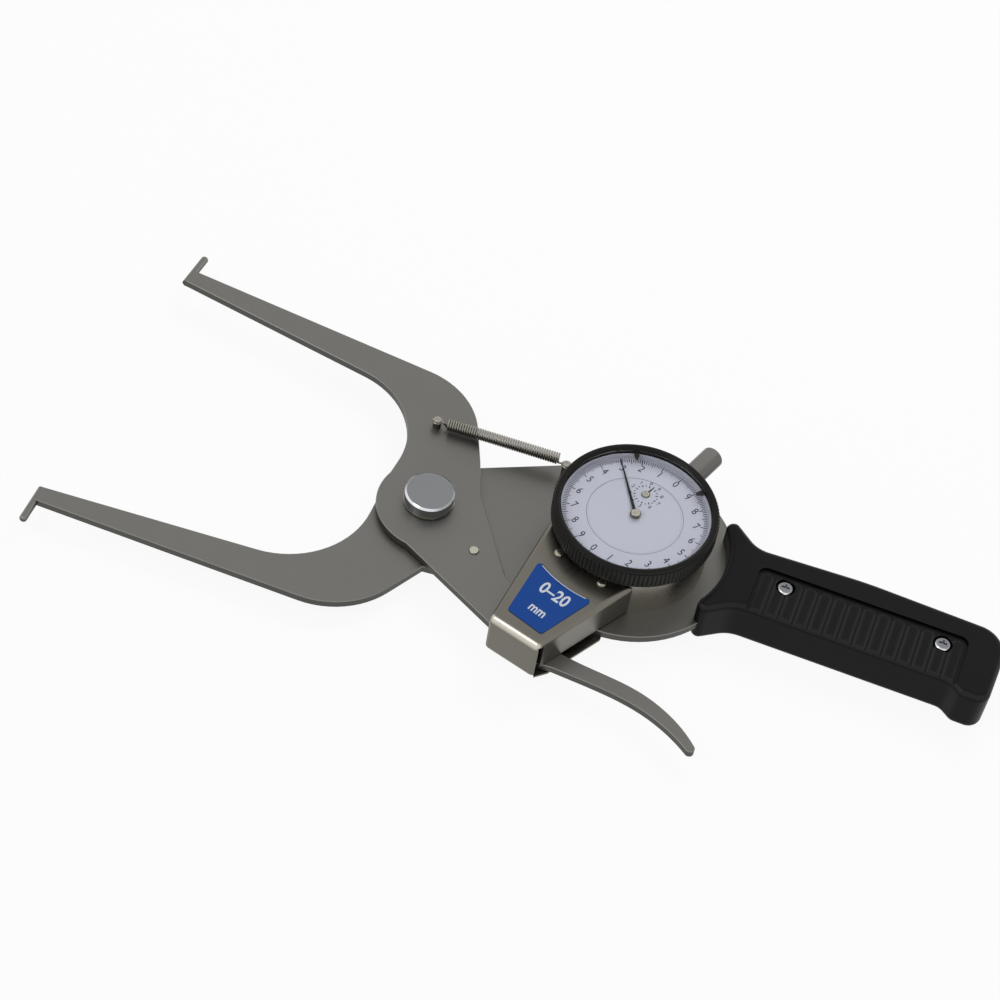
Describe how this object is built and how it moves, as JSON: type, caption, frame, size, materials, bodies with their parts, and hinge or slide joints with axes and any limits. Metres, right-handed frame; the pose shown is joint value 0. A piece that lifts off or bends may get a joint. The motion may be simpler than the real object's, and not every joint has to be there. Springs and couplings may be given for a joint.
{
  "type": "internal dial caliper gauge",
  "caption": "Internal dial caliper gauge: two curved jaws on one pivot, a trigger, a return spring, and a dial driven by rack and gears, with a ribbed black grip.",
  "frame": {"origin": "under the middle of the whole gauge, at the height of the grip's back face", "axes": "+X towards the grip's end, +Y away from the trigger, +Z out of the dial"},
  "size_m": [0.3252, 0.1372, 0.0312],
  "materials": {
    "plate_steel": "satin",
    "bright_steel": "polished",
    "spring_steel": "satin",
    "sheet_steel": "brushed",
    "nickel": "satin",
    "brass": "satin",
    "black_enamel": "satin",
    "face_enamel": "matte",
    "label_blue": "gloss",
    "crystal_clear": "clear",
    "grip_plastic": "satin"
  },
  "bodies": {
    "frame": {"frame_plate": "plate_steel", "fixed_contact_pin": "plate_steel", "pivot_shaft": "bright_steel", "pivot_cap": "bright_steel", "pivot_washers": "bright_steel", "pivot_nut": "bright_steel", "return_spring": "spring_steel", "spring_anchor_post": "bright_steel", "dial_case": "nickel", "case_screws": "bright_steel", "stem": "bright_steel", "dust_cap": "nickel", "plunger_guide": "brass", "movement_plate": "brass", "movement_bridge": "brass", "hairspring": "spring_steel", "counter_face": "face_enamel", "plunger_spring": "spring_steel", "cover_shell": "sheet_steel", "cover_pillars": "sheet_steel", "cover_screws": "brass", "range_label": "label_blue", "front_grip": "grip_plastic", "rear_grip": "grip_plastic", "grip_screws": "bright_steel", "grip_nuts": "bright_steel"},
    "jaw": {"moving_jaw": "plate_steel", "moving_contact_pin": "plate_steel", "spring_post": "bright_steel", "stop_rivet": "brass", "trigger_lever": "plate_steel", "trigger_rivets": "bright_steel", "plunger_anvil": "bright_steel"},
    "plunger": {"plunger_spindle": "bright_steel", "plunger_guide_pin": "bright_steel", "contact_point": "bright_steel"},
    "counter": {"rack_pinion": "bright_steel", "drive_gear": "brass", "counter_pointer": "black_enamel"},
    "pointer": {"centre_pinion": "brass", "main_pointer": "black_enamel"},
    "take_up": {"take_up_gear": "brass"},
    "bezel": {"bezel_ring": "black_enamel", "crystal": "crystal_clear", "dial_face": "face_enamel"},
    "marker_a": {"tolerance_marker_a": "black_enamel"},
    "marker_b": {"tolerance_marker_b": "black_enamel"}
  },
  "joints": [
    {"name": "jaw_pivot", "type": "hinge", "parent": "frame", "child": "jaw", "pos_m": [-0.0387, -0.0053, 0.0103], "axis": [0, 0, 1], "range_deg": [0, 11], "stiffness_Nm_per_rad": 2, "springref_deg": -11.46, "deforming": ["return_spring"]},
    {"name": "plunger_slide", "type": "slide", "parent": "frame", "child": "plunger", "axis": [0.3256, 0.9455, 0], "range_m": [0, 0.01181], "deforming": ["plunger_spring"]},
    {"name": "counter_turn", "type": "hinge", "parent": "frame", "child": "counter", "pos_m": [0.03091, 0.01718, 0.0203], "axis": [0, 0, 1], "range_deg": [0, 410.86]},
    {"name": "pointer_turn", "type": "hinge", "parent": "frame", "child": "pointer", "pos_m": [0.03041, 0.0069, 0.0203], "axis": [0, 0, 1], "range_deg": [-4108.6, 0]},
    {"name": "take_up_turn", "type": "hinge", "parent": "frame", "child": "take_up", "pos_m": [0.0299, -0.00337, 0.0203], "axis": [0, 0, 1], "range_deg": [0, 410.86], "deforming": ["hairspring"]},
    {"name": "bezel_turn", "type": "hinge", "parent": "frame", "child": "bezel", "pos_m": [0.03041, 0.0069, 0.023], "axis": [0, 0, 1], "continuous": true},
    {"name": "marker_a_slide", "type": "hinge", "parent": "bezel", "child": "marker_a", "pos_m": [0.03041, 0.0069, 0.0286], "axis": [0, 0, 1], "range_deg": [-28, 140]},
    {"name": "marker_b_slide", "type": "hinge", "parent": "bezel", "child": "marker_b", "pos_m": [0.03041, 0.0069, 0.0286], "axis": [0, 0, 1], "range_deg": [-140, 28]}
  ],
  "couplings": [
    {"joint": "plunger_slide", "follows": "jaw_pivot", "m_per_rad": 0.0615},
    {"joint": "counter_turn", "follows": "jaw_pivot", "ratio": 37.35},
    {"joint": "pointer_turn", "follows": "jaw_pivot", "ratio": -373.5},
    {"joint": "take_up_turn", "follows": "jaw_pivot", "ratio": 37.35}
  ]
}
